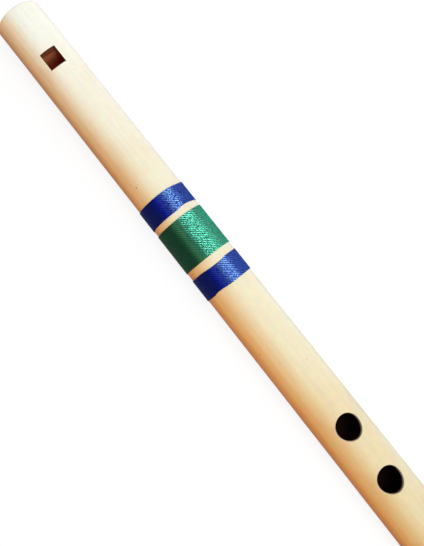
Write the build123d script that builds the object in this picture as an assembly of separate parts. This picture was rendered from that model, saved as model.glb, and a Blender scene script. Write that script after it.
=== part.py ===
from build123d import *
from math import radians, sqrt, tan
import os

# A whistle flute of bamboo: a length of cane, open at the foot, with a wooden block driven into
# its mouth end, a window cut through the wall just past the block, six finger holes and three
# thread bindings.
#
# Millimetres and degrees. +X runs along the bore from the mouth end to the foot, +Z is up through
# the finger holes, and the origin is the centre of the mouth end.

# ---- Driving sizes --------------------------------------------------------------------------------

# Cane
bore_diameter = 15.6  # the air column, straight from the block to the foot
mouth_wall = 1.6  # the cane's wall is thinner at the mouth end
foot_wall = 2.6  # and thickens towards the root end of the stalk
end_rounding = 0.6  # sanded outer edge at both ends
foot_bevel = 0.3  # broken inner edge at the foot

# Whistle
block_length = 20.9  # the block's face is flush with the near edge of the window
seat_depth = 0.25  # the mouth end is scraped this much wider all round, up to a shoulder
window_length = 7.6
window_width = 6.6
window_turn = 6.0  # hand cut, this far round the cane from the line of the finger holes
lip_lean = 15.0  # the window's far wall leans over the bore, so that the lip is sharper

# Scale: each finger hole shortens the air column by an equal-tempered step
closed_column = 350.0  # sounding length with every finger hole closed
hole_steps = (2, 2, 1, 2, 2, 2)  # semitones that each hole adds, from the foot up
window_correction = 10.5  # the column sounds longer than it measures at the window,
hole_correction = 4.5  # at an open finger hole,
foot_correction = 4.7  # and at the open foot
finger_hole_length = 9.8  # along the cane
finger_hole_width = 9.2  # across it
finger_hole_easing = 0.3  # rim rubbed smooth for the finger

# Bindings: one layer of soft thread, wound turn against turn and rubbed flat
thread_width = 0.585  # along the cane, from turn to turn
thread_height = 0.28  # above the cane
bindings = (  # node, clear cane before it, turns
    ("upper_blue_binding", 89.1, 15),
    ("green_binding", 2.5, 30),
    ("lower_blue_binding", 3.2, 16),
)

# ---- Sizes that follow ----------------------------------------------------------------------------

bore_radius = bore_diameter / 2
seat_radius = bore_radius + seat_depth
window_end = block_length + window_length
window_middle = block_length + window_length / 2
foot = window_middle + closed_column - window_correction - foot_correction
# The block's flat is planed until it is as wide as the window. That leaves the windway over it.
windway_floor = sqrt(seat_radius**2 - (window_width / 2) ** 2)


def outside(x):
    """The cane's outside radius, x from the mouth end."""
    return bore_radius + mouth_wall + (foot_wall - mouth_wall) * x / foot


def finger_hole_places():
    """The distance of each finger hole from the mouth end, from the foot up."""
    places = []
    semitones = 0
    for step in hole_steps:
        semitones += step
        column = closed_column * 2 ** (-semitones / 12)
        places.append(window_middle + column - window_correction - hole_correction)
    return places


# ---- Cane -----------------------------------------------------------------------------------------


def cane_blank():
    """The tapered cane with its bore, the block's seat and its eased ends, before any hole is cut."""
    section = Polygon(
        (0, seat_radius),
        (0, outside(0)),
        (foot, outside(foot)),
        (foot, bore_radius),
        (block_length, bore_radius),
        (block_length, seat_radius),
        align=None,
    )
    mouth_corner = section.vertices().sort_by_distance((0, outside(0)))[0]
    foot_corner = section.vertices().sort_by_distance((foot, outside(foot)))[0]
    section = fillet([mouth_corner, foot_corner], end_rounding)
    bore_corner = section.vertices().sort_by_distance((foot, bore_radius))[0]
    section = chamfer(bore_corner, foot_bevel)
    return revolve(section, Axis.X)


def window_cut():
    """The square window's waste: straight sides and near wall, and a far wall that leans to the lip."""
    bottom = bore_radius / 2
    top = outside(window_end) + 1
    lean = tan(radians(lip_lean))
    far_bottom = window_end - (outside(window_end) - bottom) * lean
    far_top = window_end + (top - outside(window_end)) * lean
    side = Plane.XZ * Polygon(
        (block_length, bottom),
        (far_bottom, bottom),
        (far_top, top),
        (block_length, top),
        align=None,
    )
    return Rot(X=window_turn) * extrude(side, window_width / 2, both=True)


def finger_hole_cut(x):
    """One finger hole's waste: an oval hole, a little longer along the cane than across it."""
    bottom = bore_radius / 2
    oval = Ellipse(finger_hole_length / 2, finger_hole_width / 2)
    return Pos(x, 0, bottom) * extrude(oval, outside(x) + 1 - bottom)


def rim_of(cane, x):
    """The outer edge of the finger hole at x: of the edges round the hole, the one that stays highest."""
    reach = finger_hole_length / 2 + 0.5
    round_hole = cane.edges().filter_by_position(Axis.X, x - reach, x + reach)
    return max(round_hole, key=lambda edge: edge.bounding_box().min.Z)


def bamboo_tube():
    """The finished cane, with its window and its six finger holes."""
    cane = cane_blank() - window_cut()
    for x in finger_hole_places():
        cane -= finger_hole_cut(x)
        cane = fillet(rim_of(cane, x), finger_hole_easing)
    return cane


# ---- Block and bindings ---------------------------------------------------------------------------


def fipple_block():
    """The wooden block: a dowel that fills its seat, but for the flat that leaves the windway."""
    dowel = Rot(Y=90) * Cylinder(seat_radius, block_length, align=(Align.CENTER, Align.CENTER, Align.MIN))
    planed_off = Pos(block_length / 2, 0, windway_floor) * Box(
        block_length, window_width, seat_radius, align=(Align.CENTER, Align.CENTER, Align.MIN)
    )
    return dowel - Rot(X=window_turn) * planed_off


def binding(start, turns):
    """One binding as a sleeve one thread thick, lying on the cane, with its outer edges round."""
    end = start + turns * thread_width
    section = Polygon(
        (start, outside(start)),
        (end, outside(end)),
        (end, outside(end) + thread_height),
        (start, outside(start) + thread_height),
        align=None,
    )
    outer_corners = section.vertices().sort_by(Axis.Y)[-2:]
    return revolve(fillet(outer_corners, thread_height / 2), Axis.X)


# ---- Assembly -------------------------------------------------------------------------------------


def assembly():
    """Every piece of the flute in its place, by node name."""
    pieces = {"bamboo_tube": bamboo_tube(), "fipple_block": fipple_block()}
    start = 0
    for node, clear_cane, turns in bindings:
        start += clear_cane
        pieces[node] = binding(start, turns)
        start += turns * thread_width
    return pieces


os.makedirs("parts", exist_ok=True)
for node, piece in assembly().items():
    export_step(piece, f"parts/{node}.step")
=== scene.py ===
"""Looks of a whistle flute made from one length of bamboo and bound with blue and green thread.

The frame gives the cane, the wooden block in its mouth end and the places of the three bindings.
This script gives the cane and the block their finishes, winds the bindings from twisted thread,
and sets the table, the lamps and the camera around them. Sizes are in metres: +X runs from the
mouth end to the foot, and +Z up through the finger holes.
"""

import logging
import math
from dataclasses import dataclass, field
from enum import Enum

import bmesh
import bpy
from mathutils import Matrix, Vector

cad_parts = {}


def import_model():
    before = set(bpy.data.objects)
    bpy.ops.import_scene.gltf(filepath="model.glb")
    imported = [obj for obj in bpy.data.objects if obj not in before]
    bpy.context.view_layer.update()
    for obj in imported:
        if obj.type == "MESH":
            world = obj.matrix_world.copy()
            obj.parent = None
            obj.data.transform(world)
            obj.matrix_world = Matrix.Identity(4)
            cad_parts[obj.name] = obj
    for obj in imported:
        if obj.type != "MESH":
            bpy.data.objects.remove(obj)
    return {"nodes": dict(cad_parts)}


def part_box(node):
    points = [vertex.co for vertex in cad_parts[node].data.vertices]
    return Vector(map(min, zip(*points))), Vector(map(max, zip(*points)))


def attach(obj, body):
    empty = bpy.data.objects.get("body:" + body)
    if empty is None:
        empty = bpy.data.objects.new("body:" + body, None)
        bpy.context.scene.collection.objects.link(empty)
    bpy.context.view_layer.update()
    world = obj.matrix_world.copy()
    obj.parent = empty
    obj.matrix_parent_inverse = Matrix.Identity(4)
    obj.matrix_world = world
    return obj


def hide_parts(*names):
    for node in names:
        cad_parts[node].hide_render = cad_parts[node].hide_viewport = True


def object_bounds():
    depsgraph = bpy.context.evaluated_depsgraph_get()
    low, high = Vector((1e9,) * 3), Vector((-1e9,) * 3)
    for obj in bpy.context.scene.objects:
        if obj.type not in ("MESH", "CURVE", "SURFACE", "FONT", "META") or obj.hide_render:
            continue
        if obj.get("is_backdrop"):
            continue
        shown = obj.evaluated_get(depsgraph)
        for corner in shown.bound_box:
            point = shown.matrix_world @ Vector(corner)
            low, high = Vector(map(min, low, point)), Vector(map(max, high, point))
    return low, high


LOG = logging.getLogger("whistle_flute")

Wire = bpy.types.NodeSocket | float | int | str | tuple
Wires = dict[str | int, Wire]
Outputs = bpy.types.NodeOutputs
Tree = bpy.types.NodeTree
Material = bpy.types.Material
Piece = bpy.types.Object
Colour = tuple[float, float, float]
Point = tuple[float, float, float]
# Where a smooth step starts and ends. A ramp adds the numbers that it leads from and to.
Span = tuple[float, float]
Ramp = tuple[float, float, float, float]

WHITE: Colour = (1.0, 1.0, 1.0)
BLACK: Colour = (0.0, 0.0, 0.0)
NUMBER_SUMS = ("LENGTH", "DISTANCE", "DOT_PRODUCT")
FIBRE_SIZES = ("Fibre Width", "Fibre Length", "Fleck Share")
WINDING_SIZES = (
    "turns crossing thread_width thread_height start_radius end_radius start turned "
    "lay ply_depth pressed wander tail seed"
).split()


class Slot(Enum):
    """The thread finishes, as the part's record names them."""

    BLUE_THREAD = "blue_thread"
    GREEN_THREAD = "green_thread"


class Twist(Enum):
    """Which way the plies of a thread turn about each other, seen from either end."""

    Z = 1.0
    S = -1.0


# ---- Node trees ----


class NodeBench:
    """Places nodes in one node tree and wires them together."""

    def __init__(self, tree: Tree) -> None:
        """Keeps the tree that the nodes go into."""
        self.tree = tree

    def place(self, kind: str, wires: Wires | None = None, **settings: object) -> bpy.types.Node:
        """Adds one node.

        Args:
            kind: the node's type name.
            wires: for each input, by name or number, a value or the output that feeds it.
            settings: the node's own options.

        Returns:
            The new node.
        """
        node = self.tree.nodes.new(kind)
        for option, value in settings.items():
            setattr(node, option, value)
        for socket, value in (wires or {}).items():
            self.feed(node.inputs[socket], value)
        return node

    def made(self, kind: str, wires: Wires | None = None, **settings: object) -> Wire:
        """Adds one node, as above, and gives its first output."""
        return self.place(kind, wires, **settings).outputs[0]

    def feed(self, socket: bpy.types.NodeSocket, value: Wire) -> None:
        """Gives an input its value, or links it.

        Args:
            socket: the input.
            value: a plain value, or the output that feeds it.
        """
        if isinstance(value, bpy.types.NodeSocket):
            self.tree.links.new(value, socket)
        elif socket.type == "RGBA" and len(value) == 3:
            socket.default_value = (*value, 1.0)
        else:
            socket.default_value = value

    def maths(
        self, operation: str, a: Wire, b: Wire = 0.0, c: Wire = 0.0, clamp: bool = False
    ) -> Wire:
        """One sum, by its name, on up to three numbers; a clamped result stays within 0 and 1."""
        wires = {0: a, 1: b, 2: c}
        return self.made("ShaderNodeMath", wires, operation=operation, use_clamp=clamp)

    def plus(self, a: Wire, b: Wire) -> Wire:
        """The sum of two numbers."""
        return self.maths("ADD", a, b)

    def less(self, a: Wire, b: Wire) -> Wire:
        """The first number less the second."""
        return self.maths("SUBTRACT", a, b)

    def times(self, a: Wire, b: Wire) -> Wire:
        """The product of two numbers."""
        return self.maths("MULTIPLY", a, b)

    def line(self, a: Wire, b: Wire, c: Wire) -> Wire:
        """The product of two numbers, and a third added to it."""
        return self.maths("MULTIPLY_ADD", a, b, c)

    def swing(self, share: Wire, reach: Wire, middle: Wire = 0.0) -> Wire:
        """A number that swings to each side of a middle, as the share goes from 0 to 1."""
        return self.line(self.less(share, 0.5), reach, middle)

    def vector(self, operation: str, a: Wire, b: Wire = (0.0, 0.0, 0.0)) -> Wire:
        """One sum, by its name, on two vectors."""
        node = self.place("ShaderNodeVectorMath", {0: a, 1: b}, operation=operation)
        return node.outputs["Value" if operation in NUMBER_SUMS else "Vector"]

    def scaled(self, vector: Wire, factor: Wire) -> Wire:
        """A vector made longer or shorter by a factor."""
        wires = {0: vector, "Scale": factor}
        return self.made("ShaderNodeVectorMath", wires, operation="SCALE")

    def step(
        self, value: Wire, low: Wire, high: Wire, to_low: Wire = 0.0, to_high: Wire = 1.0
    ) -> Wire:
        """A smooth step from one number to another, as a value goes from low to high."""
        wires = {0: value, 1: low, 2: high, 3: to_low, 4: to_high}
        return self.made("ShaderNodeMapRange", wires, interpolation_type="SMOOTHSTEP")

    def fade(self, value: Wire, low: Wire, high: Wire) -> Wire:
        """A smooth step down from 1 to 0."""
        return self.step(value, low, high, 1.0, 0.0)

    def blend(self, share: Wire, a: Wire, b: Wire, kind: str = "MIX") -> Wire:
        """Two colours mixed, by a share of the second that runs from 0 to 1."""
        wires = {0: share, 6: a, 7: b}
        return self.place("ShaderNodeMix", wires, data_type="RGBA", blend_type=kind).outputs[2]

    def turning(self, value: Wire, span: Span, first: Wire, last: Wire) -> Wire:
        """A colour that turns into another as a value runs through a span."""
        return self.blend(self.step(value, *span), first, last)

    def tinted(self, colour: Wire, by: Wire) -> Wire:
        """A colour multiplied by another, channel by channel."""
        return self.blend(1.0, colour, by, "MULTIPLY")

    def noise(self, place: Wire, scale: Wire, detail: float = 2.0, roughness: float = 0.5) -> Wire:
        """Smooth noise, about 0.5 on average, read at a place times a scale."""
        wires = {"Vector": place, "Scale": scale, "Detail": detail, "Roughness": roughness}
        return self.place("ShaderNodeTexNoise", wires, noise_dimensions="3D").outputs["Fac"]

    def split(self, vector: Wire) -> tuple[Wire, Wire, Wire]:
        """The three parts of a vector."""
        return tuple(self.place("ShaderNodeSeparateXYZ", {0: vector}).outputs)

    def join(self, x: Wire, y: Wire, z: Wire) -> Wire:
        """A vector from its three parts."""
        return self.made("ShaderNodeCombineXYZ", {0: x, 1: y, 2: z})


class GroupBench(NodeBench):
    """A node group under construction: its named inputs and outputs, and the nodes between."""

    def __init__(
        self, name: str, kind: str, inputs: dict[str, str], outputs: dict[str, str]
    ) -> None:
        """Starts the group and names its sockets.

        Args:
            name: the group's name.
            kind: the type of node tree.
            inputs: the type of each input.
            outputs: the type of each output.
        """
        super().__init__(bpy.data.node_groups.new(name, kind))
        add = self.tree.interface.new_socket
        for way, sockets in (("INPUT", inputs), ("OUTPUT", outputs)):
            for label, sort in sockets.items():
                add(label, in_out=way, socket_type=f"NodeSocket{sort}")
        self.given = self.place("NodeGroupInput").outputs
        self.result = self.place("NodeGroupOutput")

    def put_out(self, **results: Wire) -> Tree:
        """Wires the group's outputs and hands the group over.

        Args:
            results: what each output gives, by its name.

        Returns:
            The finished group.
        """
        for label, value in results.items():
            self.feed(self.result.inputs[label], value)
        return self.tree

    def shape(self, kind: str, wires: Wires | None = None, **settings: object) -> Wire:
        """Adds one node that works on geometry, and gives its first output."""
        return self.made(f"GeometryNode{kind}", wires, **settings)

    def carried(self, label: str) -> Wire:
        """A number that the geometry carries, by its name."""
        return self.shape("InputNamedAttribute", {"Name": label})

    def carrying(self, geometry: Wire, **numbers: Wire) -> Wire:
        """Stores numbers on a geometry.

        Args:
            geometry: the curve or mesh.
            numbers: each number, by the name it is stored under.

        Returns:
            The geometry with its numbers.
        """
        for label, value in numbers.items():
            wires = {0: geometry, "Name": label, "Value": value}
            geometry = self.shape("StoreNamedAttribute", wires)
        return geometry


class MaterialBench(NodeBench):
    """A material under construction, with one shader whose sockets take the finish."""

    def __init__(self, name: str) -> None:
        """Starts the material.

        Args:
            name: the material's name.
        """
        self.material = bpy.data.materials.new(name)
        self.material.use_nodes = True
        super().__init__(self.material.node_tree)
        self.shader = self.tree.nodes["Principled BSDF"]
        coordinates = self.place("ShaderNodeTexCoord").outputs
        self.spot, self.face_direction = coordinates["Object"], coordinates["Normal"]

    def group(self, tree: Tree, wires: Wires) -> Outputs:
        """Places a shader node group that goes by the place on the piece, and gives its outputs."""
        wires = {"Place": self.spot, **wires}
        return self.place("ShaderNodeGroup", wires, node_tree=tree).outputs

    def stored(self, label: str) -> Wire:
        """A number that the mesh carries, by its name."""
        return self.place("ShaderNodeAttribute", attribute_name=label).outputs["Fac"]

    def outwards(self) -> Wire:
        """The direction straight away from the cane's middle line."""
        flat = self.vector("MULTIPLY", self.spot, (0.0, 1.0, 1.0))
        return self.vector("NORMALIZE", flat)

    def stray(self, scale: float, detail: float, reach: float) -> Wire:
        """A small vector that wanders from place to place on the piece.

        Args:
            scale: how many times finer than a metre it wanders.
            detail: how many finer layers it has.
            reach: how far it wanders.

        Returns:
            The output with the vector, about zero on average.
        """
        wires = {"Vector": self.spot, "Scale": scale, "Detail": detail}
        noise = self.place("ShaderNodeTexNoise", wires).outputs["Color"]
        return self.scaled(self.vector("SUBTRACT", noise, (0.5, 0.5, 0.5)), reach)

    def bump(self, height: Wire, depth: float, strength: float, **base: Wire) -> Wire:
        """A normal from a height: how deep 1 is in metres, how much shows, and the base normal."""
        wires = {"Height": height, "Distance": depth, "Strength": strength, **base}
        return self.made("ShaderNodeBump", wires)

    def finish(self, **sockets: Wire) -> Material:
        """Wires the shader.

        Args:
            sockets: the shader's inputs by name, with an underscore for each space.

        Returns:
            The finished material.
        """
        for label, value in sockets.items():
            self.feed(self.shader.inputs[label.replace("_", " ")], value)
        return self.material


# ---- Effects that several finishes share ----


@dataclass
class SharedEffects:
    """The shader node groups that more than one finish uses."""

    band_scale: float = 0.22
    fine_roughness: float = 0.6
    fleck_shape: Point = (12.0, 1.4, 1.4)
    fleck_edge: float = 0.78
    fleck_gain: float = 0.3
    fleck_blur: float = 0.06
    patch_edge: Span = (0.35, 0.7)
    mottle_scale: float = 7.0
    long_grain: Tree = field(init=False)
    handling: Tree = field(init=False)

    def __post_init__(self) -> None:
        """Builds each group once."""
        self.long_grain, self.handling = self.build_long_grain(), self.build_handling()

    def build_long_grain(self) -> Tree:
        """Fibres that run along X, in broad bands and fine lines, with short dark flecks.

        Returns:
            A group that gives the bands, the lines and the flecks, each from 0 to 1.
        """
        bench = GroupBench(
            "Long grain",
            "ShaderNodeTree",
            {"Place": "Vector", **dict.fromkeys(FIBRE_SIZES, "Float")},
            dict.fromkeys(("Bands", "Lines", "Flecks"), "Float"),
        )
        x, y, z = bench.split(bench.given["Place"])
        along = bench.maths("DIVIDE", x, bench.given["Fibre Length"])
        across = (bench.maths("DIVIDE", part, bench.given["Fibre Width"]) for part in (y, z))
        drawn_out = bench.join(along, *across)
        short = bench.vector("MULTIPLY", drawn_out, self.fleck_shape)
        gain = bench.times(bench.given["Fleck Share"], self.fleck_gain)
        edge = bench.less(self.fleck_edge, gain)
        past_edge = bench.plus(edge, self.fleck_blur)
        return bench.put_out(
            Bands=bench.noise(drawn_out, self.band_scale),
            Lines=bench.noise(drawn_out, 1.0, 3.0, self.fine_roughness),
            Flecks=bench.step(bench.noise(short, 1.0, 1.0), edge, past_edge),
        )

    def build_handling(self) -> Tree:
        """Where hands have rubbed a surface: soft patches, and a finer mottle inside them.

        Returns:
            A group that gives the patches and the mottle, each from 0 to 1.
        """
        bench = GroupBench(
            "Handling",
            "ShaderNodeTree",
            {"Place": "Vector", "Patch Size": "Float"},
            {"Patches": "Float", "Mottle": "Float"},
        )
        factor = bench.maths("DIVIDE", 1.0, bench.given["Patch Size"])
        spread = bench.scaled(bench.given["Place"], factor)
        return bench.put_out(
            Patches=bench.step(bench.noise(spread, 1.0), *self.patch_edge),
            Mottle=bench.noise(spread, self.mottle_scale, 3.0, self.fine_roughness),
        )

    def on_wood(
        self, bench: MaterialBench, fibres: Point, patch_size: float
    ) -> tuple[Outputs, Outputs]:
        """Places both groups in a wood's material, and gives what comes out of them."""
        grain = bench.group(self.long_grain, dict(zip(FIBRE_SIZES, fibres)))
        return grain, bench.group(self.handling, {"Patch Size": patch_size})


# ---- Finishes ----


@dataclass(frozen=True)
class CaneShape:
    """The cane's sizes, as the finish and the bindings need them."""

    length: float
    mouth_radius: float = 0.0094
    foot_radius: float = 0.0104

    @property
    def taper(self) -> float:
        """How much the outside radius grows for each metre along the cane."""
        return (self.foot_radius - self.mouth_radius) / self.length

    def outside(self, x: float) -> float:
        """The outside radius at a distance from the mouth end."""
        return self.mouth_radius + self.taper * x


@dataclass(frozen=True)
class SkinMark:
    """A small brown speck in the cane's skin, turned from the top towards -Y in degrees."""

    along: float
    turned: float
    size: float

    def point(self, cane: CaneShape) -> Point:
        """Where the speck is on a cane."""
        angle, radius = math.radians(self.turned), cane.outside(self.along)
        return self.along, -radius * math.sin(angle), radius * math.cos(angle)


@dataclass(frozen=True)
class BambooFinish:
    """Polished bamboo: pale skin with painted shade on its -Y flank and underside and a painted
    sheen at +Y, cut walls, a dark bore and dotted end grain.

    A face's part is told by how far it looks outwards: 1 on the skin, 0 on a wall cut through it
    and -1 in the bore.
    """

    cane: CaneShape
    mouth_skin: Colour = (0.975, 0.985, 0.89)
    middle_skin: Colour = (0.85, 0.78, 0.565)
    foot_skin: Colour = (0.74, 0.63, 0.385)
    to_middle: Span = (-0.03, 0.34)
    to_foot: Span = (0.3, 0.75)
    # Painted shade along the -Y flank: the skin is darkened orange-brown there, as the shaded side
    # looks.
    mouth_flank_shade: Colour = (0.63, 0.295, 0.125)
    foot_flank_shade: Colour = (0.82, 0.32, 0.095)
    flank_shade_dip: float = 12.0
    flank_shade_growth: Span = (0.0, 0.4)
    flank_shade_reach: Ramp = (0.0, 0.4, 0.25, 0.6)
    flank_shade_falloff: Ramp = (0.0, 0.4, 2.3, 2.6)
    flank_shade_bands: float = 0.18
    flank_shade_flecks: float = 0.12
    flank_shade_patches: float = 0.04
    # Painted sheen: the +Y side of the skin is made paler and bluer, as if lit.
    painted_sheen_tint: Colour = (1.0, 1.07, 1.21)
    painted_sheen: Span = (0.45, 0.80)
    painted_sheen_growth: Ramp = (0.0, 0.45, 0.25, 1.0)
    # Painted shade: the lower half of the skin is made darker and cooler.
    painted_under_shade: Colour = (0.75, 0.69, 0.77)
    low: Span = (0.0, 0.55)
    fibres: Point = (0.00045, 0.028, 0.25)
    patch_size: float = 0.022
    cloud_scale: float = 330.0
    clouding: float = 0.14
    streaking: float = 0.20
    streak_level: float = 0.985
    marks: tuple[SkinMark, ...] = (
        SkinMark(0.0820, 41.0, 0.0005),
        SkinMark(0.1567, 57.0, 0.0005),
        SkinMark(0.1679, -19.5, 0.00027),
    )
    mark_heart: float = 0.3
    mark_share: float = 0.6
    rim_looks: Span = (0.72, 0.92)
    wall_looks: Span = (0.15, 0.40)
    bore_looks: Span = (-0.85, -0.65)
    holes_from: Span = (0.09, 0.12)
    worn_rim: Colour = (0.50, 0.38, 0.28)
    knife_cut: Colour = (0.24, 0.07, 0.022)
    # The finger-hole walls darken with depth, from scorched to black: partly char, partly painted
    # shade down the hole.
    scorched: Colour = (0.50, 0.38, 0.29)
    char_and_shade: Colour = (0.005, 0.0022, 0.0026)
    char_and_shade_depth: Span = (0.0006, 0.0019)
    wall_mottle: float = 0.5
    # Painted light and shade in the bore: bright red near the mouth, below the window, darkening
    # further in to a dark bore that is partly oiled wood and partly painted shade inside the tube.
    lit_mouth_bore: Colour = (0.70, 0.11, 0.05)
    bore: Colour = (0.035, 0.014, 0.012)
    bore_shade_span: Span = (0.04, 0.07)
    end_reach: Span = (0.0006, 0.0009)
    end_grain: Colour = (0.60, 0.44, 0.25)
    end_dots: Colour = (0.20, 0.10, 0.05)
    dots_per_metre: float = 1500.0
    dot_size: Ramp = (0.0, 0.003, 0.46, 0.26)
    rind: Ramp = (0.0, 0.0006, 0.5, 0.0)
    roughness: float = 0.40
    rubbed_roughness: float = 0.10
    bare_roughness: float = 0.5
    wax: float = 0.12
    wax_roughness: float = 0.32
    specular: float = 0.04
    line_height: float = 0.5
    fleck_depth: float = 0.4
    relief: Span = (0.00004, 0.6)

    def make(self, effects: SharedEffects) -> Material:
        """Builds the material.

        Args:
            effects: the shared node groups.

        Returns:
            The cane's material.
        """
        bench = MaterialBench("Polished bamboo")
        x, y, z = bench.split(bench.spot)
        radius = bench.vector("LENGTH", bench.join(0.0, y, z))
        outside = bench.line(x, self.cane.taper, self.cane.mouth_radius)
        depth = bench.less(outside, radius)
        end_gap = bench.maths("MINIMUM", x, bench.less(self.cane.length, x))

        looks = bench.vector("DOT_PRODUCT", bench.face_direction, bench.outwards())
        spans = (self.rim_looks, self.wall_looks, self.bore_looks)
        in_rim, in_wall, in_bore = (bench.fade(looks, *span) for span in spans)
        at_end = bench.fade(end_gap, *self.end_reach)
        past_window = bench.step(x, *self.holes_from)

        grain, handled = effects.on_wood(bench, self.fibres, self.patch_size)
        skin = self.skin_colour(bench, radius, grain, handled)

        # Partly char, partly painted shade: the finger-hole walls darken with depth.
        char_and_shade_wall = bench.turning(depth, self.char_and_shade_depth, self.scorched, self.char_and_shade)
        cut = bench.blend(past_window, self.knife_cut, char_and_shade_wall)
        cut = bench.blend(bench.times(handled["Mottle"], self.wall_mottle), cut, BLACK)
        wall = bench.blend(at_end, cut, self.end_grain_colour(bench, y, z, depth))
        hole_rim = bench.blend(past_window, skin, self.worn_rim)
        rim = bench.blend(at_end, hole_rim, self.end_grain)
        # Painted light near the mouth, painted shade further down the bore.
        inside = bench.turning(x, self.bore_shade_span, self.lit_mouth_bore, self.bore)
        colour = bench.blend(in_rim, skin, rim)
        colour = bench.blend(in_wall, colour, wall)
        colour = bench.blend(in_bore, colour, inside)

        bare = bench.maths("MAXIMUM", in_wall, in_bore)
        gloss = bench.line(handled["Patches"], self.rubbed_roughness, self.roughness)
        height = bench.line(grain["Lines"], self.line_height, grain["Bands"])
        height = bench.less(height, bench.times(grain["Flecks"], self.fleck_depth))
        return bench.finish(
            Base_Color=colour,
            Roughness=bench.maths("MULTIPLY_ADD", bare, self.bare_roughness, gloss, clamp=True),
            Coat_Weight=bench.times(bench.less(1.0, bare), self.wax),
            Coat_Roughness=self.wax_roughness,
            Specular_IOR_Level=self.specular,
            Normal=bench.bump(height, *self.relief),
        )

    def skin_colour(
        self, bench: MaterialBench, radius: Wire, grain: Outputs, handled: Outputs
    ) -> Wire:
        """The skin: paler towards the mouth, with painted orange-brown shade along one flank and
        underneath, a painted sheen at +Y, and faint fibres.

        Args:
            bench: the material under construction.
            radius: a point's distance from the middle line.
            grain: the grain group's outputs.
            handled: the handling group's outputs.

        Returns:
            The skin's colour.
        """
        x, y, z = bench.split(bench.spot)
        along = bench.maths("DIVIDE", x, self.cane.length, clamp=True)
        skin = bench.turning(along, self.to_middle, self.mouth_skin, self.middle_skin)
        skin = bench.turning(along, self.to_foot, skin, self.foot_skin)

        # Painted shade: the skin darkens orange-brown towards the -Y flank, dipped a little below
        # the side.
        dip = math.radians(self.flank_shade_dip)
        reach = bench.step(along, *self.flank_shade_reach)
        downwards = bench.times(z, -math.sin(dip))
        towards = bench.line(y, -math.cos(dip), downwards)
        side = bench.maths("DIVIDE", towards, radius)
        side = bench.swing(grain["Bands"], self.flank_shade_bands, side)
        side, whole = (bench.plus(part, reach) for part in (side, 1.0))
        share = bench.maths("DIVIDE", side, whole, clamp=True)
        flank_shading = bench.maths("POWER", share, bench.step(along, *self.flank_shade_falloff))
        flank_shading = bench.line(grain["Flecks"], self.flank_shade_flecks, flank_shading)
        flank_shading = bench.line(handled["Patches"], self.flank_shade_patches, flank_shading)
        flank_shade = bench.turning(along, self.flank_shade_growth, self.mouth_flank_shade, self.foot_flank_shade)
        channels = (bench.maths("POWER", channel, flank_shading) for channel in bench.split(flank_shade))
        skin = bench.tinted(skin, bench.join(*channels))

        # Painted sheen: paler and bluer towards +Y.
        painted_sheen = bench.step(bench.maths("DIVIDE", y, radius), *self.painted_sheen)
        painted_sheen = bench.times(painted_sheen, bench.step(along, *self.painted_sheen_growth))
        skin = bench.blend(painted_sheen, skin, bench.tinted(skin, self.painted_sheen_tint))
        # Painted shade: darker underneath.
        low = bench.fade(bench.maths("DIVIDE", z, radius), *self.low)
        skin = bench.blend(low, skin, bench.tinted(skin, self.painted_under_shade))

        clouds = bench.stray(self.cloud_scale, 2.0, self.clouding)
        skin = bench.tinted(skin, bench.vector("ADD", clouds, WHITE))
        streak = bench.swing(grain["Lines"], self.streaking, self.streak_level)
        skin = bench.tinted(skin, bench.join(streak, streak, streak))
        for mark in self.marks:
            gap = bench.vector("DISTANCE", bench.spot, mark.point(self.cane))
            heart = mark.size * self.mark_heart
            share = bench.step(gap, heart, mark.size, self.mark_share, 0.0)
            skin = bench.blend(share, skin, self.end_dots)
        return skin

    def end_grain_colour(self, bench: MaterialBench, y: Wire, z: Wire, depth: Wire) -> Wire:
        """The cut end: dark bundles of fibre, small near the skin, larger and apart inside.

        Args:
            bench: the material under construction.
            y: a point's place to the side.
            z: its height.
            depth: how far it is under the skin.

        Returns:
            The end's colour.
        """
        wires = {"Vector": bench.join(0.0, y, z), "Scale": self.dots_per_metre}
        bundles = bench.place("ShaderNodeTexVoronoi", wires).outputs["Distance"]
        dots = bench.maths("LESS_THAN", bundles, bench.step(depth, *self.dot_size))
        rind = bench.step(depth, *self.rind)
        return bench.blend(bench.maths("MAXIMUM", dots, rind), self.end_grain, self.end_dots)


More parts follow.
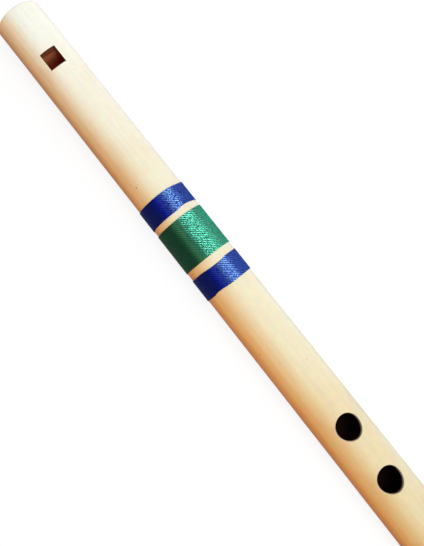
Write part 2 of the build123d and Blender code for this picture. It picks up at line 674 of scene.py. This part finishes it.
@dataclass(frozen=True)
class BlockFinish:
    """The block's reddish wood, with growth rings on its ends and painted shade along the top edge
    of its inner end.
    """

    early_wood: Colour = (0.95, 0.30, 0.13)
    late_wood: Colour = (0.62, 0.18, 0.075)
    pores: Colour = (0.20, 0.05, 0.02)
    # Painted shade: a dark band along the top of the block's inner end, under the window's edge.
    painted_lip_shade: Colour = (0.24, 0.055, 0.02)
    pith: Point = (0.0, -0.012, -0.021)
    ring_slope: float = 0.05
    rings_per_metre: float = 620.0
    ring_wander: float = 0.0012
    wander_scale: float = 90.0
    late_from: Span = (0.45, 0.9)
    late_until: Span = (0.93, 1.0)
    late_share: float = 0.65
    fibres: Point = (0.00025, 0.009, 0.5)
    pore_share: float = 0.7
    patch_size: float = 0.012
    patch_share: float = 0.25
    lip_shade_along: Span = (0.018, 0.0205)
    lip_shade_up: Span = (0.0038, 0.0062)
    lip_shade_share: float = 0.85
    pore_depth: float = 0.8
    roughness: float = 0.55
    line_roughness: float = 0.2
    specular: float = 0.3
    relief: Span = (0.00005, 0.7)

    def make(self, effects: SharedEffects) -> Material:
        """Builds the material.

        Args:
            effects: the shared node groups.

        Returns:
            The block's material.
        """
        bench = MaterialBench("Reddish block wood")
        place = bench.spot
        x, _, z = bench.split(place)
        stretched = bench.vector("MULTIPLY", place, (self.ring_slope, 1.0, 1.0))
        from_pith = bench.vector("SUBTRACT", stretched, self.pith)
        wander = bench.times(bench.noise(place, self.wander_scale), self.ring_wander)
        reach = bench.plus(bench.vector("LENGTH", from_pith), wander)
        ring = bench.maths("FRACT", bench.times(reach, self.rings_per_metre))
        late = bench.times(bench.step(ring, *self.late_from), bench.fade(ring, *self.late_until))
        grain, handled = effects.on_wood(bench, self.fibres, self.patch_size)
        # Painted shade along the top of the block's inner end.
        lip_shade = bench.times(bench.step(x, *self.lip_shade_along), bench.step(z, *self.lip_shade_up))
        colour = self.early_wood
        for where, share, over in (
            (late, self.late_share, self.late_wood),
            (grain["Flecks"], self.pore_share, self.pores),
            (handled["Patches"], self.patch_share, self.late_wood),
            (lip_shade, self.lip_shade_share, self.painted_lip_shade),
        ):
            colour = bench.blend(bench.times(where, share), colour, over)
        height = bench.less(grain["Lines"], bench.times(grain["Flecks"], self.pore_depth))
        return bench.finish(
            Base_Color=colour,
            Roughness=bench.line(grain["Lines"], self.line_roughness, self.roughness),
            Specular_IOR_Level=self.specular,
            Normal=bench.bump(height, *self.relief),
        )


@dataclass(frozen=True)
class ThreadFinish:
    """Dyed, lustrous thread, with painted shade between its plies, and single fibres along it.

    Its lustre is kept to a painted highlight band along the top, and its dye is painted darker as
    shade at -Y, where near places run up to 1. Far ones do at +Y.
    """

    name: str
    dye: Colour
    shade_and_wear_dye: Colour
    sheen: Colour
    tint: Colour
    lustrous_crown: Span = (0.60, 0.95)
    lay_scale: float = 1500.0
    lying_true: Span = (0.10, 0.60)
    # Painted highlight: the lustre is kept to a band along the top and dulled to each side.
    highlight_band_near: Ramp = (-0.15, 0.5, 1.0, 0.05)
    highlight_band_far: Ramp = (0.22, 0.45, 1.0, 0.55)
    # Painted shade: the dye turns to its darkest in the clefts between plies and on the -Y side;
    # rubbed patches take the same dark dye as wear.
    cleft_shade_crown: Span = (0.45, 0.95)
    shaded_flank: Span = (0.30, 0.64)
    patch_size: float = 0.006
    patch_share: float = 0.12
    fibres_per_metre: float = 900.0
    fibres_round: float = 9.0
    fibre_shade: float = 0.7
    index: float = 1.25
    roughness: float = 0.18
    dull_roughness: float = 0.65
    fibre_roughness: float = 0.12
    metallic_from: Span = (0.0, 0.45)
    combed: float = 0.84
    ruffled: float = 0.3
    relief: Span = (0.00001, 1.0)

    def make(self, effects: SharedEffects) -> Material:
        """Builds the material.

        Args:
            effects: the shared node groups.

        Returns:
            The thread's material.
        """
        bench = MaterialBench(self.name)
        place = bench.spot
        run, round_it, crown = (bench.stored(label) for label in ("run", "round_it", "crown"))
        lengthwise = bench.times(run, self.fibres_per_metre)
        fibre_place = bench.join(lengthwise, bench.times(round_it, self.fibres_round), 0.0)
        fibres = bench.noise(fibre_place, 1.0, 3.0, 0.6)
        handled = bench.group(effects.handling, {"Patch Size": self.patch_size})

        far = bench.split(bench.outwards())[1]
        near = bench.times(far, -1.0)
        lustrous = bench.times(
            bench.step(crown, *self.lustrous_crown),
            bench.step(bench.noise(place, self.lay_scale, 1.0), *self.lying_true),
        )
        # Painted highlight: lustre only in a band along the top.
        kept = bench.times(bench.step(near, *self.highlight_band_near), bench.step(far, *self.highlight_band_far))
        lustrous = bench.times(lustrous, kept)

        # Painted shade: darker dye in the clefts between plies.
        colour = bench.turning(crown, self.cleft_shade_crown, self.shade_and_wear_dye, self.dye)
        # Painted shade: darker dye towards -Y.
        colour = bench.turning(near, self.shaded_flank, colour, self.shade_and_wear_dye)
        rubbed = bench.times(handled["Patches"], self.patch_share)
        colour = bench.blend(rubbed, colour, self.shade_and_wear_dye)
        colour = bench.blend(lustrous, colour, self.sheen)
        shade = bench.swing(fibres, self.fibre_shade, 1.0)
        colour = bench.tinted(colour, bench.join(shade, shade, shade))
        rough = bench.step(lustrous, 0.0, 1.0, self.dull_roughness, self.roughness)
        return bench.finish(
            Base_Color=colour,
            Metallic=bench.step(lustrous, *self.metallic_from),
            Roughness=bench.line(fibres, self.fibre_roughness, rough),
            IOR=self.index,
            Specular_Tint=self.tint,
            Normal=bench.bump(fibres, *self.relief, Normal=self.combed_normal(bench)),
        )

    def combed_normal(self, bench: MaterialBench) -> Wire:
        """Turns the normal towards the one square to the cane.

        Fibres combed side by side around the cane reflect like that, apart from the odd stray one.

        Args:
            bench: the material under construction.

        Returns:
            The normal between the thread's own and the cane's.
        """
        normal = bench.place("ShaderNodeNewGeometry").outputs["Normal"]
        ways = {"vector_type": "NORMAL", "convert_from": "OBJECT", "convert_to": "WORLD"}
        turned = bench.made("ShaderNodeVectorTransform", {0: bench.outwards()}, **ways)
        share = bench.scaled(turned, self.combed)
        rest = bench.scaled(normal, 1.0 - self.combed)
        stray = bench.stray(self.lay_scale, 0.0, self.ruffled)
        mixed = bench.vector("ADD", bench.vector("ADD", share, rest), stray)
        return bench.vector("NORMALIZE", mixed)


# ---- Bindings ----


@dataclass
class ThreadWinder:
    """The Geometry Nodes tree that winds a twisted thread on a tapered cane."""

    plies: int = 3
    points_per_ply: int = 4
    steps_per_turn: int = 234
    twist: Twist = Twist.Z
    left_off: float = 0.7
    thinnest: float = 0.2
    drifts_per_metre: float = 60.0
    strains_per_metre: float = 350.0
    strain: float = 0.1
    layer_steps: int = 96
    layer_rise: float = 0.2
    layer_thickness: float = 0.3
    layer_margin: float = 0.4
    tree: Tree = field(init=False)

    def __post_init__(self) -> None:
        """Builds the tree once the sizes are known."""
        self.tree = self.build_tree()

    def build_tree(self) -> Tree:
        """Wires the tree: a spiral, a lobed profile swept along it, and the turn onto the X axis.

        Returns:
            The tree, whose inputs are the sizes of one binding.
        """
        bench = GroupBench(
            "Thread winding",
            "GeometryNodeTree",
            {**dict.fromkeys(WINDING_SIZES, "Float"), "material": "Material"},
            {"Geometry": "Geometry"},
        )
        given = bench.given
        wires = {0: self.wound_path(bench), 1: self.plied_profile(bench)}
        wires |= {"Fill Caps": True, "Scale": bench.carried("thinned")}
        thread = self.pressed_flat(bench, bench.shape("CurveToMesh", wires))
        layers = bench.place("GeometryNodeJoinGeometry")
        bench.feed(layers.inputs[0], bench.shape("SetShadeSmooth", {0: thread}))
        # The layer has no crown, so it takes the thread's darkest dye: painted shade in the clefts
        # between turns.
        bench.feed(layers.inputs[0], self.shade_layer(bench))
        whole = layers.outputs[0]
        turn = bench.less(given["turned"], math.pi)
        for kind, move in (
            ("Rotation", (0.0, math.pi / 2, 0.0)),
            ("Rotation", bench.join(turn, 0.0, 0.0)),
            ("Translation", bench.join(given["start"], 0.0, 0.0)),
        ):
            whole = bench.shape("Transform", {0: whole, kind: move})
        single = bench.shape("RealizeInstances", {0: whole})
        wires = {0: single, "Material": given["material"]}
        return bench.put_out(Geometry=bench.shape("SetMaterial", wires))

    def wound_path(self, bench: GroupBench) -> Wire:
        """The thread's middle line, about Z: level turns, each crossing to the next in one place.

        The turns wander a little, and the ends thin and tuck in.

        Args:
            bench: the tree under construction.

        Returns:
            The curve, tilted as the thread is twisted.
        """
        given = bench.given
        pitch, crossing = given["thread_width"], given["crossing"]
        left_off = bench.times(crossing, self.left_off)
        rotations = bench.less(given["turns"], left_off)
        wires = {"Resolution": self.steps_per_turn, "Rotations": rotations, "Height": 0.0}
        wires |= {"Start Radius": given["start_radius"], "End Radius": given["end_radius"]}
        rings = bench.shape("CurveSpiral", wires)

        parameter = bench.place("GeometryNodeSplineParameter").outputs
        run = parameter["Length"]
        turned = bench.times(parameter["Factor"], rotations)
        before_crossing = bench.less(1.0, crossing)
        crossed = bench.step(bench.maths("FRACT", turned), before_crossing, 1.0)
        row = bench.plus(bench.maths("FLOOR", turned), crossed)
        row = bench.maths("MINIMUM", row, bench.less(given["turns"], 1.0))

        whole = bench.place("GeometryNodeSplineLength").outputs["Length"]
        left = bench.less(whole, run)
        from_start, from_end = (bench.step(end, 0.0, given["tail"]) for end in (run, left))
        full = bench.times(from_start, from_end)
        kept = bench.line(full, 1.0 - self.thinnest, self.thinnest)
        slack = bench.times(bench.less(1.0, kept), bench.times(pitch, 0.5))

        at = bench.join(bench.times(run, self.drifts_per_metre), given["seed"], 0.0)
        drift = bench.swing(bench.noise(at, 1.0), given["wander"])
        in_last_half = bench.maths("GREATER_THAN", run, left)
        inwards = bench.line(in_last_half, -2.0, 1.0)
        upright = bench.plus(drift, bench.times(slack, inwards))
        upright = bench.line(row, pitch, upright)
        where = bench.shape("InputPosition")
        level = bench.vector("MULTIPLY", where, (1.0, 1.0, 0.0))
        lowered = bench.scaled(bench.vector("NORMALIZE", level), bench.times(slack, -1.0))
        offset = bench.vector("ADD", lowered, bench.join(0.0, 0.0, upright))
        laid = bench.shape("SetPosition", {0: rings, "Offset": offset})
        middle = bench.vector("LENGTH", level)
        laid = bench.carrying(laid, run=run, thinned=kept, middle=middle)
        laid = bench.shape("SetCurveNormal", {0: laid}, mode="Z_UP")

        at = bench.join(bench.times(run, self.strains_per_metre), given["seed"], 0.0)
        strain = bench.times(bench.noise(at, 1.0, 1.0), self.strain)
        lays = bench.plus(bench.maths("DIVIDE", run, given["lay"]), strain)
        tilt = bench.times(lays, math.tau * self.twist.value)
        return bench.shape("SetCurveTilt", {0: laid, "Tilt": tilt})

    def shade_layer(self, bench: GroupBench) -> Wire:
        """A dark layer pressed in under the turns, which closes the clefts between them and shows
        there as painted shade.

        Args:
            bench: the tree under construction.

        Returns:
            A flat closed ring inside the winding, about Z.
        """
        given = bench.given
        pitch, thickness = given["thread_width"], given["thread_height"]
        height = bench.times(bench.less(given["turns"], 1.0), pitch)
        both = bench.plus(given["start_radius"], given["end_radius"])
        cane = bench.less(bench.times(both, 0.5), bench.times(pitch, 0.5))
        radius = bench.line(thickness, self.layer_rise, cane)
        wires = {"Resolution": self.layer_steps, "Radius": radius}
        ring = bench.shape("CurvePrimitiveCircle", wires)
        upright = bench.shape("SetCurveNormal", {0: ring}, mode="Z_UP")
        margin = bench.times(pitch, self.layer_margin)
        wires = {"Width": bench.times(thickness, self.layer_thickness)}
        wires |= {"Height": bench.less(height, margin)}
        section = bench.shape("CurvePrimitiveQuadrilateral", wires, mode="RECTANGLE")
        band = bench.shape("CurveToMesh", {0: upright, 1: section})
        halfway = bench.join(0.0, 0.0, bench.times(height, 0.5))
        return bench.shape("Transform", {0: band, "Translation": halfway})

    def pressed_flat(self, bench: GroupBench, thread: Wire) -> Wire:
        """Presses the thread flat on the cane, and its crown flatter still.

        Args:
            bench: the tree under construction.
            thread: the swept thread, about Z.

        Returns:
            The same thread, as high as its flattened height.
        """
        given = bench.given
        where = bench.shape("InputPosition")
        outwards = bench.vector("MULTIPLY", where, (1.0, 1.0, 0.0))
        half = bench.times(given["thread_width"], 0.5)
        radius = bench.times(bench.carried("thinned"), half)
        away = bench.vector("LENGTH", outwards)
        rise = bench.less(away, bench.carried("middle"))
        pressed = given["pressed"]
        upper = bench.less(radius, bench.times(bench.less(radius, rise), pressed))
        stretched = bench.times(bench.plus(rise, radius), bench.less(2.0, pressed))
        lower = bench.less(stretched, radius)
        flat = bench.maths("DIVIDE", given["thread_height"], given["thread_width"])
        above_cane = bench.plus(bench.maths("MINIMUM", upper, lower), half)
        above_cane = bench.times(above_cane, flat)
        shift = bench.less(above_cane, bench.plus(rise, half))
        offset = bench.scaled(bench.vector("NORMALIZE", outwards), shift)
        return bench.shape("SetPosition", {0: thread, "Offset": offset})

    def plied_profile(self, bench: GroupBench) -> Wire:
        """The thread's section: one rounded lobe for each ply, with a cleft between neighbours.

        Args:
            bench: the tree under construction.

        Returns:
            The closed profile curve, which carries how near a point is to a ply's crown.
        """
        radius = bench.times(bench.given["thread_width"], 0.5)
        wires = {"Resolution": self.plies * self.points_per_ply, "Radius": radius}
        ring = bench.shape("CurvePrimitiveCircle", wires)
        where = bench.shape("InputPosition")
        x, y, _ = bench.split(where)
        angle = bench.maths("ARCTAN2", y, x)
        crown = bench.maths("ABSOLUTE", bench.maths("COSINE", bench.times(angle, self.plies / 2)))
        ring = bench.carrying(ring, crown=crown, round_it=angle)
        cleft = bench.times(bench.less(1.0, crown), bench.given["ply_depth"])
        offset = bench.scaled(where, bench.times(cleft, -1.0))
        return bench.shape("SetPosition", {0: ring, "Offset": offset})


@dataclass
class Binding:
    """One binding: a single thread wound turn against turn round the cane."""

    node: str
    slot: Slot
    turns: float
    start_angle: float
    seed: float
    plies_per_turn: float = 45.4
    thread_height: float = 0.00028
    crossing: float = 0.14
    ply_depth: float = 0.40
    pressed: float = 0.4
    wander: float = 0.00004
    tail: float = 0.004

    def wind(self, winder: ThreadWinder, cane: CaneShape, material: Material) -> Piece:
        """Winds the thread where the frame has the binding's sleeve.

        Args:
            winder: the tree that winds thread.
            cane: the cane it is wound on.
            material: the thread's finish.

        Returns:
            The binding as one plain mesh, in place of its sleeve.
        """
        low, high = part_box(self.node)
        width = (high.x - low.x) / self.turns
        first, last = low.x + width / 2, high.x - width / 2
        turn_length = math.tau * (cane.outside((first + last) / 2) + width / 2)
        sizes = {
            **vars(self),
            "thread_width": width,
            "start_radius": cane.outside(first) + width / 2,
            "end_radius": cane.outside(last) + width / 2,
            "start": first,
            "turned": math.radians(self.start_angle),
            "lay": winder.plies * turn_length / self.plies_per_turn,
            "material": material,
        }
        piece = bpy.data.objects.new(f"{self.node}_thread", bpy.data.meshes.new("thread"))
        bpy.context.scene.collection.objects.link(piece)
        modifier = piece.modifiers.new("Winding", "NODES")
        modifier.node_group = winder.tree
        for socket in winder.tree.interface.items_tree:
            if socket.in_out == "INPUT":
                modifier[socket.identifier] = sizes[socket.name]
        settle_modifiers(piece)
        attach(piece, "root")
        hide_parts(self.node)
        return piece


def settle_modifiers(piece: Piece) -> None:
    """Gives a piece the mesh that its modifiers make, and takes the modifiers off.

    Args:
        piece: the piece, changed in place.
    """
    bpy.context.view_layer.update()
    evaluated = piece.evaluated_get(bpy.context.evaluated_depsgraph_get())
    mesh = bpy.data.meshes.new_from_object(evaluated)
    piece.modifiers.clear()
    piece.data = mesh


# ---- The flute ----


@dataclass
class Flute:
    """The whole flute, in the order it is made: cane, block, bindings."""

    nodes: dict[str, Piece]
    bindings: tuple[Binding, ...] = (
        Binding("upper_blue_binding", Slot.BLUE_THREAD, 15.0, -55.0, 3.0),
        Binding("green_binding", Slot.GREEN_THREAD, 30.0, 140.0, 11.0),
        Binding("lower_blue_binding", Slot.BLUE_THREAD, 16.0, 0.0, 23.0),
    )
    blue_thread: ThreadFinish = ThreadFinish(
        "Blue thread",
        dye=(0.003, 0.004, 0.54),
        shade_and_wear_dye=(0.001, 0.001, 0.08),
        sheen=(0.195, 0.415, 0.85),
        tint=(0.12, 0.30, 0.80),
    )
    green_thread: ThreadFinish = ThreadFinish(
        "Green thread",
        dye=(0.082, 0.33, 0.12),
        shade_and_wear_dye=(0.007, 0.036, 0.012),
        sheen=(0.125, 0.74, 0.56),
        tint=(0.14, 0.80, 0.60),
        highlight_band_near=(0.08, 0.52, 1.0, 0.05),
        highlight_band_far=(0.22, 0.45, 1.0, 1.0),
        ruffled=0.24,
    )

    def dress(self, node: str, material: Material) -> Piece:
        """Gives a piece of the frame its finish.

        Args:
            node: the piece's name.
            material: its finish.

        Returns:
            The piece.
        """
        piece = self.nodes[node]
        if not piece.material_slots:
            piece.data.materials.append(material)
        for place in piece.material_slots:
            place.material = material
        return piece

    def build(self, effects: SharedEffects) -> list[Piece]:
        """Dresses the cane and the block and winds the bindings.

        Args:
            effects: the shared node groups.

        Returns:
            The pieces.
        """
        cane = CaneShape(length=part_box("bamboo_tube")[1].x)
        threads = {
            Slot.BLUE_THREAD: self.blue_thread.make(effects),
            Slot.GREEN_THREAD: self.green_thread.make(effects),
        }
        pieces = [
            self.dress("bamboo_tube", BambooFinish(cane).make(effects)),
            self.dress("fipple_block", BlockFinish().make(effects)),
        ]
        winder = ThreadWinder()
        for binding in self.bindings:
            pieces.append(binding.wind(winder, cane, threads[binding.slot]))
        for piece in pieces:
            LOG.info("%s: %d faces", piece.name, len(piece.data.polygons))
        return pieces


# ---- Studio ----


@dataclass(frozen=True)
class SoftLamp:
    """A rectangular soft lamp, aimed at a point on the flute."""

    name: str
    place: Point
    aim: Point
    width: float
    height: float
    level: float
    mirrored: bool = True

    def hang(self) -> Piece:
        """Puts the lamp up, with the power that lights a surface facing it to its level.

        Returns:
            The lamp.
        """
        lamp = bpy.data.lights.new(self.name, "AREA")
        lamp.shape, lamp.size, lamp.size_y = "RECTANGLE", self.width, self.height
        beam = Vector(self.aim) - Vector(self.place)
        lamp.energy = self.level * math.pi**2 * beam.length_squared
        stand = bpy.data.objects.new(self.name, lamp)
        stand.location = self.place
        stand.rotation_euler = beam.to_track_quat("-Z", "Y").to_euler()
        stand.visible_glossy = self.mirrored
        bpy.context.scene.collection.objects.link(stand)
        return stand


@dataclass(frozen=True)
class Camera:
    """The camera, looking down on the flute, which runs from upper left to lower right."""

    place: Point = (0.12808, -0.0511, 0.24486)
    aim: Point = (0.10874, -0.00202, 0.0)
    slant: float = 51.656
    lens: float = 44.321
    sensor: float = 36.0
    shift: Span = (0.0425, -0.0566)
    clip: Span = (0.01, 50.0)

    def set_up(self) -> Piece:
        """Aims the camera and makes it the scene's own.

        Returns:
            The camera.
        """
        back = (Vector(self.place) - Vector(self.aim)).normalized()
        along = Vector((1.0, 0.0, 0.0))
        along = (along - back * along.dot(back)).normalized()
        across = back.cross(along)
        slant = math.radians(self.slant)
        right = along * math.cos(slant) + across * math.sin(slant)
        up = across * math.cos(slant) - along * math.sin(slant)
        body = bpy.data.cameras.new("Camera")
        body.lens, body.sensor_width = self.lens, self.sensor
        body.shift_x, body.shift_y = self.shift
        body.clip_start, body.clip_end = self.clip
        camera = bpy.data.objects.new("Camera", body)
        turn = Matrix((right, up, back)).transposed().to_4x4()
        camera.matrix_world = Matrix.Translation(self.place) @ turn
        bpy.context.scene.collection.objects.link(camera)
        bpy.context.scene.camera = camera
        return camera


@dataclass
class Studio:
    """The table that the flute lies on, the soft room round it, its lamps and its camera."""

    floor_height: float
    table_middle: float = 0.15
    table_reach: float = 6.0
    table_cells: int = 8
    seen_glow: float = 0.86
    seen_grey: float = 0.17
    warm_table: Colour = (0.70, 0.52, 0.38)
    wall_top: float = 3.0
    ceiling: float = 12.0
    ceiling_colour: Colour = (0.08, 0.08, 0.08)
    lamps: tuple[SoftLamp, ...] = (
        SoftLamp("Window light", (0.07, 0.30, 0.84), (0.13, 0.0, 0.0), 0.30, 1.00, 0.55),
        SoftLamp("Window glow", (0.18, 0.74, 0.46), (0.13, 0.0, 0.0), 0.50, 0.60, 0.26),
        SoftLamp("Side fill", (0.15, -0.80, 0.22), (0.15, 0.0, 0.0), 0.80, 0.60, 0.46, False),
        SoftLamp("End fill", (0.52, 0.00, 0.62), (0.03, 0.0, 0.0), 0.30, 0.30, 0.36, False),
    )
    camera: Camera = Camera()

    def set_up(self) -> None:
        """Lays the table, lights the room and sets the camera up."""
        self.lay_table()
        self.light_room()
        for lamp in self.lamps:
            lamp.hang()
        self.camera.set_up()
        bpy.context.scene.view_settings.view_transform = "Standard"

    def lay_table(self) -> Piece:
        """Lays a plain table, pale where it is seen and warm in the light that it throws back.

        Returns:
            The table.
        """
        table = bmesh.new()
        cells = {"x_segments": self.table_cells, "y_segments": self.table_cells}
        bmesh.ops.create_grid(table, **cells, size=self.table_reach)
        middle = (self.table_middle, 0.0, self.floor_height)
        bmesh.ops.translate(table, verts=table.verts, vec=middle)
        mesh = bpy.data.meshes.new("table")
        table.to_mesh(mesh)
        table.free()
        piece = bpy.data.objects.new("table", mesh)
        bpy.context.scene.collection.objects.link(piece)

        bench = MaterialBench("Pale table")
        bench.tree.nodes.remove(bench.shader)
        path = bench.place("ShaderNodeLightPath").outputs
        directly = bench.maths("MAXIMUM", path["Is Camera Ray"], path["Is Glossy Ray"])
        directly = bench.maths("MAXIMUM", directly, path["Is Transmission Ray"])
        grey = bench.made("ShaderNodeBsdfDiffuse", {"Color": (self.seen_grey,) * 3})
        wires = {"Color": WHITE, "Strength": self.seen_glow}
        glow = bench.made("ShaderNodeEmission", wires)
        seen = bench.made("ShaderNodeAddShader", {0: grey, 1: glow})
        warm = bench.made("ShaderNodeBsdfDiffuse", {"Color": self.warm_table})
        mixed = bench.made("ShaderNodeMixShader", {0: directly, 1: warm, 2: seen})
        bench.feed(bench.tree.nodes["Material Output"].inputs["Surface"], mixed)
        mesh.materials.append(bench.material)
        piece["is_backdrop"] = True
        return piece

    def light_room(self) -> bpy.types.World:
        """Gives the room its even light: a white wall all round, under a dimmer ceiling.

        Returns:
            The world.
        """
        world = bpy.data.worlds.new("Room")
        world.use_nodes = True
        bench = NodeBench(world.node_tree)
        height = bench.split(bench.place("ShaderNodeTexCoord").outputs["Generated"])[2]
        heights = (math.sin(math.radians(angle)) for angle in (self.wall_top, self.ceiling))
        room = bench.blend(bench.step(height, *heights), WHITE, self.ceiling_colour)
        bench.feed(world.node_tree.nodes["Background"].inputs["Color"], room)
        bpy.context.scene.world = world
        return world


# ---- Running order ----


def main() -> None:
    """Loads the frame, makes the flute and sets the studio round it."""
    logging.basicConfig(level=logging.INFO, format="%(name)s: %(message)s")
    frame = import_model()
    cad_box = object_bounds()
    effects = SharedEffects()
    Flute(frame["nodes"]).build(effects)
    Studio(floor_height=cad_box[0][2]).set_up()


if __name__ == "__main__":
    main()
